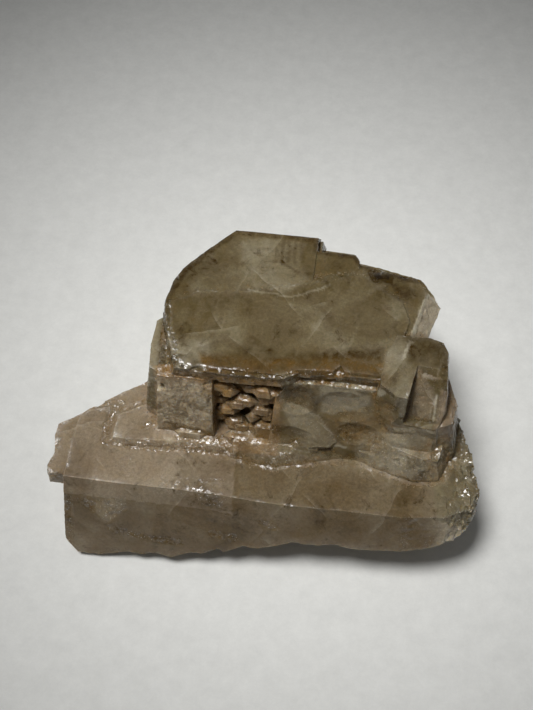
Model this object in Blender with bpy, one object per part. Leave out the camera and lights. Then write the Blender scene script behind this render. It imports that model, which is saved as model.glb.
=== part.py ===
"""A cathedral quartz specimen: a smoky crystal slab that carries a stepped cluster of parallel crystals.

Every crystal of such a cluster grew in one orientation, so the model has one too. The long axis of the
quartz lattice, c, runs along X. A prism face lies level on top, its neighbours slope down to the front and
the back at 60 degrees, and the terminations lean 38.2 degrees from c. Each crystal is a level face with an
outline, and every side of the outline leans the way the habit or the break there makes it lean.
All the crystals are fused into one solid. The sizes in the tables are millimetres.
"""

import math

import bmesh
import bpy
from mathutils import Matrix, Vector, noise

MM = 0.001

# The slope from level of each kind of face.
PRISM = 60.0        # prism face beside the level one
TIP = 38.2          # termination face over the level prism face
SIDE_TIP = 66.9     # termination face over a prism face at the front or the back

# Heights of the level faces, in millimetres above the table.
SLAB_TOP = 26.0
LEDGE_TOP = 27.2
FLANGE_TOP = 29.0
TOE_TOP = 33.0
SLIVER_TOP = 40.0
BLOCK_TOP = 46.5
CROWN_TOP = 50.0
PILLAR_TOP = 50.9

SMOKY = (0.26, 0.23, 0.19, 1.0)

# Depths, in millimetres, that a rough break swings to either side of its mean surface.
FINE_BREAK = 0.6
COARSE_BREAK = 1.5

# How many rows and columns of small crystals line the hollow between the blocks.
HOLLOW_ROWS = 4
HOLLOW_COLUMNS = 4

# Points of the fused solid that lie closer than this, in metres, are one point.
WELD = 0.000004

RING_STEP = 4.0
CORNER_STEP = 3.2

# Where the front edge of the slab is broken off, from the left end to the right: X and height.
FRONT_BREAK = (
    (-60.0, 10.0), (-49.4, 6.6), (-45.7, 1.9), (-38.6, 2.2), (-30.6, 4.3), (-26.5, 3.9), (-23.6, 5.1),
    (-18.7, 4.2), (-12.9, 6.7), (-9.0, 6.9), (-5.1, 9.2), (-3.2, 8.2), (2.0, 11.2), (6.3, 10.9),
    (12.1, 13.0), (15.5, 14.4), (19.5, 14.2), (27.8, 15.2), (32.0, 14.3), (36.5, 14.7), (45.7, 15.4),
    (55.6, 17.5), (62.5, 21.1), (65.2, 24.8), (70.0, 30.0),
)
SLAB_FRONT = -58.2


def new_object(name, mesh):
    """Makes an object of a bmesh, with its faces turned outwards and the bent ones split into triangles."""
    mesh.normal_update()
    bent = [
        face for face in mesh.faces
        if any(abs((v.co - face.verts[0].co).dot(face.normal)) > 1e-8 for v in face.verts)
    ]
    bmesh.ops.triangulate(mesh, faces=bent)
    bmesh.ops.recalc_face_normals(mesh, faces=mesh.faces[:])
    data = bpy.data.meshes.new(name)
    mesh.to_mesh(data)
    mesh.free()
    made = bpy.data.objects.new(name, data)
    bpy.context.scene.collection.objects.link(made)
    return made


def roughness(point, seed):
    """A number near -1..1 that changes over a few millimetres, with small steps like those of a fracture."""
    broad = noise.noise(point * 0.11 + Vector((seed, 3.1, 0.0)))
    small = noise.noise(point * 0.31 + Vector((0.0, seed, 7.7)))
    stepped = math.floor(4.0 * noise.noise(point * 0.16 + Vector((5.5, 0.0, seed)))) / 4.0
    return 0.9 * broad + 0.5 * small + 0.6 * stepped


def side_line(start, end, drop, lean):
    """The plan line of a wall at a depth below its top edge: a point on it, its direction and its outside."""
    along = Vector((end[0] - start[0], end[1] - start[1])).normalized()
    outside = Vector((along.y, -along.x))
    shift = drop / math.tan(math.radians(lean))
    return Vector((start[0], start[1])) + outside * shift, along, outside


def meet(first, second):
    """Where two plan lines cross, or the start of the second one if they run almost parallel."""
    point, along, _ = first
    other, other_along, _ = second
    turn = along.x * other_along.y - along.y * other_along.x
    if abs(turn) < 0.12:
        return (point + along * along.dot(other - point)).lerp(other, 0.5)
    gap = other - point
    return point + along * ((gap.x * other_along.y - gap.y * other_along.x) / turn)


def ring_corners(lines):
    """The corners of an outline at one depth. A side that its neighbours overgrow shrinks to a point."""
    kept = list(range(len(lines)))
    while len(kept) > 3:
        corners = [meet(lines[kept[i - 1]], lines[kept[i]]) for i in range(len(kept))]
        lengths = [
            (corners[(i + 1) % len(kept)] - corners[i]).dot(lines[kept[i]][1]) for i in range(len(kept))
        ]
        shortest = min(range(len(kept)), key=lambda i: lengths[i])
        if lengths[shortest] > 0.05:
            break
        kept.pop(shortest)
    places = []
    for i in range(len(lines)):
        following = min((j for j in kept if j >= i), default=kept[0])
        spot = corners[kept.index(following)]
        places.append(spot.copy())
    return places


def terrace(name, outline, top, base, seed=0.0):
    """One crystal: a level face at height top with walls down to base.

    outline runs anticlockwise. Each corner is (x, y, lean, rough), where lean is the slope from level of
    the wall that starts there and rough the depth of the break on it. A lean above 90 makes an overhang.
    """
    count = len(outline)
    rough_somewhere = any(corner[3] > 0.0 for corner in outline)
    rings = max(1, round((top - base) / RING_STEP)) if rough_somewhere else 1
    widths = [
        (Vector(outline[(i + 1) % count][:2]) - Vector(outline[i][:2])).length for i in range(count)
    ]
    mesh = bmesh.new()
    levels = []
    for ring in range(rings + 1):
        drop = (top - base) * ring / rings
        lines = [
            side_line(outline[i], outline[(i + 1) % count], drop, outline[i][2]) for i in range(count)
        ]
        corners = ring_corners(lines)
        kept = [
            min(1.0, (corners[(i + 1) % count] - corners[i]).length / widths[i]) for i in range(count)
        ]
        row = []
        for i in range(count):
            start, end = corners[i], corners[(i + 1) % count]
            rough = outline[i][3] * kept[i]
            pieces = max(1, round(widths[i] / CORNER_STEP)) if outline[i][3] > 0.0 else 1
            for k in range(pieces):
                spot = start.lerp(end, k / pieces).to_3d()
                spot.z = top - drop
                swing = rough if k > 0 else min(rough, outline[i - 1][3] * kept[i - 1])
                spot += lines[i][2].to_3d() * (swing * roughness(spot, seed))
                row.append(mesh.verts.new(spot * MM))
        levels.append(row)
    mesh.faces.new(levels[0])
    mesh.faces.new(reversed(levels[-1]))
    for upper, lower in zip(levels, levels[1:]):
        size = len(upper)
        for i in range(size):
            j = (i + 1) % size
            mesh.faces.new((upper[i], lower[i], lower[j], upper[j]))
    bmesh.ops.remove_doubles(mesh, verts=mesh.verts[:], dist=0.02 * MM)
    return new_object(name, mesh)


def break_off(name, edge, recede, reach, away, relief, seed):
    """A cutter that leaves a rough break: it starts at the 3-D line edge and runs along recede.

    away points out of the stone. The line itself is kept, and the roughness grows behind it.
    """
    recede = Vector(recede).normalized()
    away = Vector(away).normalized()
    steps = [-7.0, -2.0, 0.0] + [2.6 * (k + 1) for k in range(round(reach / 2.6))]
    line = []
    for start, end in zip(edge, edge[1:]):
        start, end = Vector(start), Vector(end)
        pieces = max(1, round((end - start).length / 3.4))
        line += [start.lerp(end, k / pieces) for k in range(pieces)]
    line.append(Vector(edge[-1]))
    mesh = bmesh.new()
    grid = []
    for spot in line:
        row = []
        for step in steps:
            place = spot + recede * step
            weight = min(1.0, max(0.0, step / 5.0))
            place += away * (relief * weight * roughness(place, seed))
            row.append(mesh.verts.new(place * MM))
        grid.append(row)
    for row, next_row in zip(grid, grid[1:]):
        for k in range(len(steps) - 1):
            mesh.faces.new((row[k], row[k + 1], next_row[k + 1], next_row[k]))
    shell = bmesh.ops.extrude_face_region(mesh, geom=mesh.faces[:])
    outer = [item for item in shell["geom"] if isinstance(item, bmesh.types.BMVert)]
    bmesh.ops.translate(mesh, verts=outer, vec=away * (45.0 * MM))
    return new_object(name, mesh)


def small_crystal(name, centre, width, length):
    """A six-sided crystal along X, with a six-faced point at each end."""
    cap = 0.5 * width / math.tan(math.radians(TIP))
    corner = width / math.sqrt(3.0)
    straight = max(0.2, 0.5 * length - cap)
    mesh = bmesh.new()
    rings = []
    for end in (-1.0, 1.0):
        ring = []
        for k in range(6):
            turn = math.radians(60.0 * k)
            spot = Vector((end * straight, corner * math.cos(turn), corner * math.sin(turn)))
            ring.append(mesh.verts.new((spot + Vector(centre)) * MM))
        rings.append(ring)
    tips = [
        mesh.verts.new((Vector((end * (straight + cap), 0.0, 0.0)) + Vector(centre)) * MM)
        for end in (-1.0, 1.0)
    ]
    for k in range(6):
        j = (k + 1) % 6
        mesh.faces.new((rings[0][k], rings[0][j], rings[1][j], rings[1][k]))
        mesh.faces.new((rings[0][j], rings[0][k], tips[0]))
        mesh.faces.new((rings[1][k], rings[1][j], tips[1]))
    return new_object(name, mesh)


def chip(name, centre, radius, seed):
    """A cutter for one chip: a faceted ball, stretched and dented a little differently each time."""
    mesh = bmesh.new()
    bmesh.ops.create_icosphere(mesh, subdivisions=2, radius=radius)
    turned = Matrix.Rotation(2.4 * seed, 3, "Z") @ Matrix.Rotation(0.5 * math.sin(seed), 3, "X")
    for vertex in mesh.verts:
        dent = 1.0 + 0.5 * noise.noise(vertex.co * 0.6 + Vector((seed * 1.7, 0.0, 0.0)))
        long, wide, deep = vertex.co * dent
        shaped = turned @ Vector((1.5 * long, 0.9 * wide, 0.8 * deep))
        vertex.co = (shaped + Vector(centre)) * MM
    return new_object(name, mesh)


def hull(name, corners):
    """A solid with flat faces round a set of corners."""
    mesh = bmesh.new()
    for corner in corners:
        mesh.verts.new(Vector(corner) * MM)
    made = bmesh.ops.convex_hull(mesh, input=mesh.verts[:])
    spare = [item for item in made["geom_interior"] if isinstance(item, bmesh.types.BMVert)]
    bmesh.ops.delete(mesh, geom=spare, context="VERTS")
    flat = math.radians(1.0)
    bmesh.ops.dissolve_limit(mesh, angle_limit=flat, verts=mesh.verts[:], edges=mesh.edges[:])
    return new_object(name, mesh)


def scoop(name, face_point, outside, radius, wide, depth):
    """A cutter for a shallow shell-shaped break: a ball, stretched along X, whose cap reaches into a face."""
    centre = Vector(face_point) + Vector(outside).normalized() * (radius - depth)
    mesh = bmesh.new()
    bmesh.ops.create_icosphere(mesh, subdivisions=3, radius=radius * MM)
    for vertex in mesh.verts:
        vertex.co.x *= wide
    bmesh.ops.translate(mesh, verts=mesh.verts[:], vec=centre * MM)
    return new_object(name, mesh)


def combine(body, tool, operation):
    """Joins a piece to the body, or cuts it away, and removes the tool."""
    step = body.modifiers.new(operation.lower(), "BOOLEAN")
    step.operation = operation
    step.solver = "EXACT"
    step.object = tool
    bpy.context.view_layer.objects.active = body
    bpy.ops.object.modifier_apply(modifier=step.name)
    bpy.data.objects.remove(tool)
    mesh = bmesh.new()
    mesh.from_mesh(body.data)
    bmesh.ops.remove_doubles(mesh, verts=mesh.verts[:], dist=WELD)
    bmesh.ops.dissolve_degenerate(mesh, edges=mesh.edges[:], dist=WELD)
    mesh.to_mesh(body.data)
    mesh.free()


def slab_front_at(height):
    """The Y of the slab's front prism face at a height."""
    return SLAB_FRONT - (SLAB_TOP - height) / math.tan(math.radians(PRISM))


def slab():
    """The big crystal that the cluster grew on, broken across at both ends, and the lip at its left end."""
    body = terrace(
        "slab",
        [
            (-48.9, SLAB_FRONT, PRISM, 0.3),
            (-8.0, SLAB_FRONT, PRISM, 0.3),
            (12.0, SLAB_FRONT - 0.7, PRISM, 0.3),
            (44.0, SLAB_FRONT, PRISM, 0.3),
            (56.5, -56.6, PRISM, 0.4),
            (63.2, -53.6, 78.0, 0.4),
            (65.2, -48.0, 92.0, COARSE_BREAK),
            (62.1, -36.5, 95.0, COARSE_BREAK),
            (57.3, -22.4, 95.0, COARSE_BREAK),
            (48.0, -3.0, 93.0, COARSE_BREAK),
            (44.0, 13.0, 84.0, COARSE_BREAK),
            (4.0, 14.5, 82.0, COARSE_BREAK),
            (-26.0, 13.0, 93.0, COARSE_BREAK),
            (-29.4, -25.1, 88.0, FINE_BREAK),
            (-48.5, -39.4, 90.0, FINE_BREAK),
        ],
        top=SLAB_TOP,
        base=0.0,
        seed=1.0,
    )
    lip = terrace(
        "slab_lip",
        [
            (-53.0, SLAB_FRONT + 0.4, 72.0, 0.2),
            (-40.0, SLAB_FRONT + 0.6, 90.0, 0.0),
            (-27.0, -30.0, 90.0, 0.0),
            (-29.8, -25.1, SIDE_TIP, 0.0),
            (-34.0, -29.2, SIDE_TIP, 0.25),
            (-48.8, -39.6, SIDE_TIP, 0.25),
            (-53.7, -42.9, 84.0, 0.3),
            (-54.2, -46.5, 84.0, 0.3),
            (-52.9, -51.5, 86.0, 0.3),
            (-54.0, -55.6, 80.0, 0.3),
        ],
        top=SLAB_TOP - 0.3,
        base=22.0,
        seed=3.0,
    )
    return body, lip


def ledges():
    """The low crystals on the slab in front of the cluster: a milky ledge, a flange and a blunt toe."""
    left = terrace(
        "ledge",
        [
            (-37.4, -45.6, 34.0, 0.5),
            (-26.0, -45.0, 34.0, 0.5),
            (-14.0, -44.2, 34.0, 0.5),
            (-1.7, -44.4, 80.0, 0.0),
            (-1.0, -30.0, 80.0, 0.0),
            (-28.0, -33.4, 40.0, 0.2),
            (-37.0, -38.6, 34.0, 0.4),
        ],
        top=LEDGE_TOP,
        base=24.0,
        seed=4.0,
    )
    flange = terrace(
        "flange",
        [
            (-3.6, -43.4, 40.0, 0.3),
            (1.6, -43.6, 34.0, 0.4),
            (8.2, -43.8, 34.0, 0.4),
            (15.0, -42.9, 42.0, 0.3),
            (20.4, -42.0, 52.0, 0.3),
            (26.0, -40.9, PRISM, 0.3),
            (30.6, -41.6, PRISM, 0.3),
            (38.0, -43.2, PRISM, 0.3),
            (46.0, -43.4, 80.0, 0.0),
            (46.0, -28.0, 80.0, 0.0),
            (-3.0, -30.0, 80.0, 0.0),
        ],
        top=FLANGE_TOP,
        base=24.5,
        seed=5.0,
    )
    toe = terrace(
        "toe",
        [
            (38.5, -40.6, 56.0, 0.5),
            (44.0, -42.4, 56.0, 0.6),
            (48.3, -43.4, 60.0, 0.6),
            (51.6, -42.8, 64.0, 0.5),
            (53.2, -40.0, 70.0, 0.5),
            (53.6, -35.5, 74.0, 0.5),
            (50.0, -30.0, 80.0, 0.0),
            (38.0, -30.0, 80.0, 0.0),
        ],
        top=TOE_TOP,
        base=24.6,
        seed=5.5,
    )
    return left, flange, toe


def blocks():
    """The crystals at the middle height: two blocks in front of the crown and small ones at its ends."""
    middle = terrace(
        "block_middle",
        [
            (7.2, -32.3, PRISM, 0.0),
            (18.4, -31.5, PRISM, 0.0),
            (47.0, -31.3, 86.0, 0.3),
            (46.0, -10.0, 80.0, 0.0),
            (5.4, -10.0, 84.0, 0.5),
        ],
        top=BLOCK_TOP,
        base=24.65,
        seed=6.0,
    )
    pitted = terrace(
        "block_pitted",
        [
            (-25.0, -34.4, 70.0, 0.6),
            (-10.4, -34.6, 84.0, 0.8),
            (-8.6, -18.0, 80.0, 0.0),
            (-25.4, -18.0, 88.0, 0.4),
        ],
        top=46.9,
        base=24.7,
        seed=7.0,
    )
    hollow_back = terrace(
        "hollow_back",
        [
            (-13.0, -31.2, 82.0, 1.2),
            (9.5, -30.6, 80.0, 0.0),
            (9.5, -20.0, 80.0, 0.0),
            (-13.0, -20.0, 80.0, 0.0),
        ],
        top=46.7,
        base=24.8,
        seed=8.0,
    )
    small_left = terrace(
        "block_small",
        [
            (-24.9, -33.2, 64.0, 0.3),
            (-18.0, -31.0, 80.0, 0.0),
            (-18.0, -14.0, 80.0, 0.0),
            (-26.0, -15.4, 74.0, 0.0),
            (-28.0, -17.6, 82.0, 0.2),
            (-28.4, -24.6, 82.0, 0.2),
            (-27.5, -31.8, 76.0, 0.2),
        ],
        top=46.0,
        base=25.0,
        seed=9.0,
    )
    return middle, pitted, hollow_back, small_left


def pillar():
    """The stout crystal at the right that stands above the crown, and the rough foot that it slopes into."""
    main_part = terrace(
        "pillar",
        [
            (34.2, -31.6, 78.0, 0.2),
            (38.6, -34.6, 76.0, 0.0),
            (48.8, -35.4, 76.0, 0.0),
            (50.6, -32.0, 78.0, 0.2),
            (51.4, -28.0, 82.0, 0.3),
            (51.3, -20.0, 78.0, 0.2),
            (49.8, -17.2, 70.0, 0.2),
            (46.5, -16.2, PRISM, 0.0),
            (37.4, -16.4, 84.0, 0.2),
            (35.2, -22.2, 84.0, 0.3),
            (34.0, -29.1, 84.0, 0.2),
        ],
        top=PILLAR_TOP,
        base=30.2,
        seed=10.0,
    )
    foot = terrace(
        "pillar_foot",
        [
            (36.0, -33.6, 54.0, 0.7),
            (40.0, -34.9, 54.0, 0.9),
            (45.0, -35.6, 54.0, 0.9),
            (49.0, -35.7, 58.0, 0.8),
            (51.0, -33.4, 66.0, 0.6),
            (51.8, -29.0, 80.0, 0.0),
            (36.0, -28.0, 80.0, 0.0),
        ],
        top=41.0,
        base=25.2,
        seed=10.8,
    )
    sliver = terrace(
        "sliver",
        [
            (50.0, -37.5, 70.0, 0.4),
            (54.8, -35.4, 76.0, 0.3),
            (55.7, -29.3, 84.0, 0.3),
            (52.9, -21.6, 86.0, 0.3),
            (49.8, -16.5, 80.0, 0.0),
            (44.0, -20.0, 80.0, 0.0),
        ],
        top=SLIVER_TOP,
        base=25.3,
        seed=11.0,
    )
    return main_part, foot, sliver


def pillar_facets():
    """Cutters for the two broad facets that slope down from the pillar's top to its foot."""
    front = hull(
        "pillar_front_facet",
        [
            (43.4, -24.7, 50.9), (41.4, -34.6, 50.9), (41.4, -35.6, 40.6), (60.0, -36.6, 40.6),
            (60.0, -26.6, 50.9), (41.4, -60.0, 56.0), (60.0, -60.0, 56.0), (60.0, -26.6, 56.0),
            (43.4, -24.7, 56.0), (41.4, -34.6, 56.0), (41.4, -60.0, 40.6), (60.0, -60.0, 40.6),
        ],
    )
    return (front,)


def crown():
    """The plate at the back: parallel crystals side by side, each ending a step further to the right."""
    core = terrace(
        "crown_core",
        [
            (-22.0, -29.8, 86.0, 0.9),
            (12.0, -29.0, 84.0, 0.0),
            (14.6, -28.0, 88.0, 0.0),
            (14.6, 13.5, PRISM, 0.0),
            (-10.8, 13.2, SIDE_TIP, 0.3),
            (-23.2, -1.0, 78.0, 0.3),
            (-26.0, -9.0, 84.0, 0.3),
            (-25.8, -17.5, 84.0, 0.3),
        ],
        top=47.3,
        base=24.9,
        seed=12.0,
    )
    first = terrace(
        "crown_1",
        [
            (-20.2, -33.3, 80.0, 0.4),
            (-8.0, -33.7, 80.0, 0.4),
            (8.8, -32.9, 80.0, 0.3),
            (12.6, -30.4, 80.0, 0.0),
            (13.3, 12.7, PRISM, 0.0),
            (-10.2, 12.4, SIDE_TIP, 0.0),
            (-14.9, 7.4, SIDE_TIP, 0.12),
            (-23.0, -2.1, 72.0, 0.15),
            (-25.1, -6.9, 76.0, 0.15),
            (-26.1, -12.6, 80.0, 0.15),
            (-25.8, -16.8, 76.0, 0.15),
            (-24.4, -21.1, 74.0, 0.2),
        ],
        top=CROWN_TOP,
        base=46.5,
        seed=12.5,
    )
    second = terrace(
        "crown_2",
        [
            (-2.0, -29.8, 88.0, 0.0),
            (25.6, -29.9, 90.0, 0.0),
            (25.6, 6.6, 60.0, 0.0),
            (24.2, 8.6, PRISM, 0.0),
            (8.0, 8.6, 80.0, 0.0),
        ],
        top=CROWN_TOP - 0.5,
        base=25.1,
        seed=13.0,
    )
    third = terrace(
        "crown_3",
        [
            (6.0, -30.2, 88.0, 0.2),
            (37.0, -30.1, 80.0, 0.0),
            (38.9, 1.0, 66.0, 0.0),
            (36.9, 3.7, PRISM, 0.5),
            (26.6, 5.7, PRISM, 0.3),
            (12.0, 6.1, 80.0, 0.0),
        ],
        top=CROWN_TOP - 0.9,
        base=25.4,
        seed=14.0,
    )
    fourth = terrace(
        "crown_4",
        [
            (20.0, -30.0, 88.0, 0.0),
            (37.6, -29.8, TIP, 0.0),
            (44.8, -1.2, SIDE_TIP, 0.0),
            (41.4, 2.6, PRISM, 0.3),
            (33.0, 3.9, PRISM, 0.0),
            (24.0, 2.4, 80.0, 0.0),
        ],
        top=CROWN_TOP - 0.2,
        base=46.0,
        seed=15.0,
    )
    fourth_base = terrace(
        "crown_4_base",
        [
            (20.5, -25.0, PRISM, 0.0),
            (42.4, -26.0, 106.0, 0.4),
            (49.2, -3.6, 108.0, 0.4),
            (43.2, 5.0, 72.0, 0.4),
            (22.0, 9.0, 80.0, 0.0),
        ],
        top=46.1,
        base=25.5,
        seed=16.0,
    )
    return core, first, second, third, fourth, fourth_base


def back_steps():
    """Lower crystals behind the crown, broken across at their ends."""
    high = terrace(
        "back_high",
        [
            (-8.0, -5.0, 80.0, 0.0),
            (27.0, -5.0, 84.0, 0.8),
            (24.0, 16.6, PRISM, 0.0),
            (-2.0, 17.2, SIDE_TIP, 0.3),
            (-9.0, 11.0, 80.0, 0.0),
        ],
        top=38.0,
        base=24.2,
        seed=18.0,
    )
    low = terrace(
        "back_low",
        [
            (-22.0, -5.0, 80.0, 0.0),
            (42.0, -5.0, 86.0, COARSE_BREAK),
            (36.0, 15.0, 62.0, 0.5),
            (20.0, 17.5, PRISM, 0.0),
            (-12.0, 20.0, 78.0, 0.8),
            (-21.0, 9.0, 84.0, 0.5),
        ],
        top=31.5,
        base=24.3,
        seed=19.0,
    )
    return high, low


def back_crystals():
    """Whole parallel crystals that lie against the back of the slab, one above the other."""
    places = (
        (-1.0, 15.6, 17.5, 15.0, 44.0),
        (24.0, 15.4, 12.0, 17.0, 37.0),
        (-14.0, 18.0, 8.6, 13.0, 25.0),
        (12.0, 21.5, 8.2, 11.0, 33.0),
        (25.0, 9.2, 28.6, 12.0, 29.0),
        (0.0, 13.6, 33.0, 9.0, 26.0),
    )
    return [small_crystal(f"back_crystal_{i}", place[:3], *place[3:]) for i, place in enumerate(places)]


def block_facet():
    """A broad broken facet low on the front of the middle block, less steep than the face that it is on."""
    return hull(
        "block_facet",
        [
            (8.2, -34.9, 39.6), (13.9, -35.2, 39.1), (19.6, -36.7, 36.7), (25.0, -40.2, 30.9),
            (10.2, -39.4, 34.4), (13.2, -41.8, 32.4), (17.6, -43.0, 31.2), (22.6, -42.4, 30.4),
            (10.8, -38.4, 27.6), (24.8, -41.0, 27.6), (17.0, -42.6, 27.0), (12.0, -32.0, 30.0),
        ],
    )


def growth_steps():
    """A thin layer of growth on the crown, less than half a millimetre high."""
    over_crown = terrace(
        "layer_crown",
        [
            (-18.9, -32.4, 55.0, 0.3),
            (8.4, -32.0, 55.0, 0.3),
            (12.0, -29.9, 55.0, 0.0),
            (20.5, -29.2, 55.0, 0.3),
            (36.3, -28.8, 60.0, 0.2),
            (40.4, -11.5, 60.0, 0.0),
            (38.4, -6.4, 24.0, 0.3),
            (26.4, 1.8, 24.0, 0.0),
            (9.8, -3.6, 24.0, 0.4),
            (-3.3, -7.6, 24.0, 0.4),
            (-17.0, -9.6, 24.0, 0.4),
            (-24.9, -13.6, 60.0, 0.2),
            (-23.3, -21.8, 60.0, 0.2),
        ],
        top=CROWN_TOP + 0.4,
        base=48.6,
        seed=17.0,
    )
    return (over_crown,)


def crystallites():
    """Small crystals in the hollow between the two blocks, and a few on the ledges."""
    places = (
        (2.6, -33.6, 35.6, 4.2, 8.0),
        (6.2, -32.8, 39.6, 4.6, 7.5),
        (-3.6, -36.8, 28.8, 4.6, 9.0),
        (4.6, -38.2, 29.4, 5.2, 11.0),
        (-8.2, -35.4, 30.0, 3.8, 7.0),
        (5.0, -35.6, 33.4, 4.0, 7.0),
        (-16.0, -41.6, 27.4, 2.6, 9.0),
        (16.4, -41.6, 28.6, 2.8, 10.0),
        (-1.0, -41.2, 27.4, 3.6, 12.0),
    )
    made = [small_crystal(f"crystallite_{i}", place[:3], *place[3:]) for i, place in enumerate(places)]
    for i in range(HOLLOW_ROWS * HOLLOW_COLUMNS):
        row, column = divmod(i, HOLLOW_COLUMNS)
        x = -9.0 + 4.3 * column + 1.4 * math.sin(2.3 * i)
        z = 30.2 + 3.9 * row + 1.2 * math.cos(1.7 * i)
        y = -30.4 - 0.6 * column - (46.7 - z) * 0.34 + 1.0 * math.sin(1.9 * i)
        width = 2.6 + 1.9 * abs(math.sin(3.1 * i))
        length = width * (1.5 + 0.9 * abs(math.cos(1.3 * i)))
        made.append(small_crystal(f"hollow_crystal_{i}", (x, y, z), width, length))
    return made


def chips():
    """Shell-shaped chips along the edges and shallow pits on the level faces."""
    places = (
        (-8.0, -59.6, 26.9, 1.9), (64.4, -43.6, 26.8, 2.3), (60.8, -31.5, 26.9, 2.0),
        (-53.6, -49.0, 26.8, 1.7), (-43.0, -35.4, 26.5, 1.5), (-24.6, -5.0, 50.8, 1.4),
        (20.4, 9.1, 50.2, 1.3), (31.6, 5.6, 50.0, 2.0), (38.6, 3.9, 50.4, 1.7),
        (-13.0, -34.4, 50.6, 2.1), (3.0, -34.2, 50.9, 1.8), (23.0, -29.6, 50.4, 1.5),
        (51.0, -24.4, 51.4, 1.5), (50.2, -17.2, 51.6, 1.3),
        (52.4, -43.6, 33.6, 2.4), (55.6, -31.0, 40.9, 1.8), (-38.8, -42.6, 28.2, 1.3),
        (-10.2, -36.0, 46.4, 2.6), (-24.6, -35.8, 43.0, 2.0), (6.8, -33.6, 44.6, 2.2),
        (-13.0, -43.2, 33.2, 2.4),
    )
    return [chip(f"chip_{i}", place[:3], place[3], i) for i, place in enumerate(places)]


def scoops():
    """Shallow shell-shaped breaks on the block's front, the ledge in front of it and the crown's front."""
    wall = (0.0, -math.sin(math.radians(PRISM)), math.cos(math.radians(PRISM)))
    return [
        scoop("scoop_window", (25.6, -34.3, 40.8), wall, 11.0, 1.7, 0.9),
        scoop("scoop_dark", (13.4, -34.0, 41.4), wall, 9.0, 1.2, 0.7),
        scoop("scoop_low", (30.0, -38.6, 33.6), wall, 8.0, 1.6, 0.8),
        scoop("scoop_ledge", (9.0, -44.6, 28.6), (0.0, -0.42, 0.91), 9.0, 2.2, 0.8),
    ]


def front_break():
    """The rough break along the foot of the slab, low at the left and rising to the right."""
    edge = [(x, slab_front_at(z), z) for x, z in FRONT_BREAK]
    return break_off(
        "front_break",
        edge,
        recede=(0.0, 0.80, -0.60),
        reach=42.0,
        away=(0.0, -0.60, -0.80),
        relief=1.6,
        seed=21.0,
    )


def smoky_quartz():
    """The material of the whole cluster: clear to milky quartz with a brown smoke in it."""
    made = bpy.data.materials.new("smoky_quartz")
    made.use_nodes = True
    shader = made.node_tree.nodes["Principled BSDF"]
    shader.inputs["Base Color"].default_value = SMOKY
    shader.inputs["Roughness"].default_value = 0.35
    shader.inputs["IOR"].default_value = 1.544
    shader.inputs["Transmission Weight"].default_value = 0.6
    return made


def shells(mesh):
    """The separate closed surfaces of a mesh, as sets of faces."""
    waiting = set(mesh.faces)
    found = []
    while waiting:
        shell = {waiting.pop()}
        edge_of_shell = list(shell)
        while edge_of_shell:
            face = edge_of_shell.pop()
            for edge in face.edges:
                for other in edge.link_faces:
                    if other in waiting:
                        waiting.remove(other)
                        shell.add(other)
                        edge_of_shell.append(other)
        found.append(shell)
    return found


def settle(body):
    """Fills hollows that the crystals closed in between them, and stands the solid's box on the origin."""
    mesh = bmesh.new()
    mesh.from_mesh(body.data)
    parts = sorted(shells(mesh), key=len, reverse=True)
    hollows = [face for shell in parts[1:] for face in shell]
    bmesh.ops.delete(mesh, geom=hollows, context="FACES")
    xs = [vertex.co.x for vertex in mesh.verts]
    ys = [vertex.co.y for vertex in mesh.verts]
    lowest = min(vertex.co.z for vertex in mesh.verts)
    middle = Vector(((min(xs) + max(xs)) / 2.0, (min(ys) + max(ys)) / 2.0, lowest))
    bmesh.ops.translate(mesh, verts=mesh.verts[:], vec=-middle)
    mesh.to_mesh(body.data)
    mesh.free()


def main():
    for leftover in list(bpy.data.objects):
        bpy.data.objects.remove(leftover)
    body, lip = slab()
    grown = (lip, *ledges(), *blocks(), *pillar(), *crown(), *back_steps(), *growth_steps())
    grown += (*back_crystals(), *crystallites(), block_facet())
    combine(body, front_break(), "DIFFERENCE")
    for piece in grown:
        combine(body, piece, "UNION")
    for cutter in (*pillar_facets(), *scoops(), *chips()):
        combine(body, cutter, "DIFFERENCE")
    settle(body)
    body.data.materials.append(smoky_quartz())
    body.name = "quartz_cluster"
    body.data.name = "quartz_cluster"


main()
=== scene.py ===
"""Looks of a cathedral quartz specimen: smoky, milky crystals grown together, on a paper floor.

The solid is copied, cut into a fine grid, and given the surface of the real stone: growth lines on the
crystal faces, ripples and steps on the breaks, pits, worn edges, and dirt and painted shade in the corners.
Its material is quartz that light passes through. Sizes in the tables are millimetres.
"""

import math

import bpy
import numpy as np
from mathutils import Matrix, Vector


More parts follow.
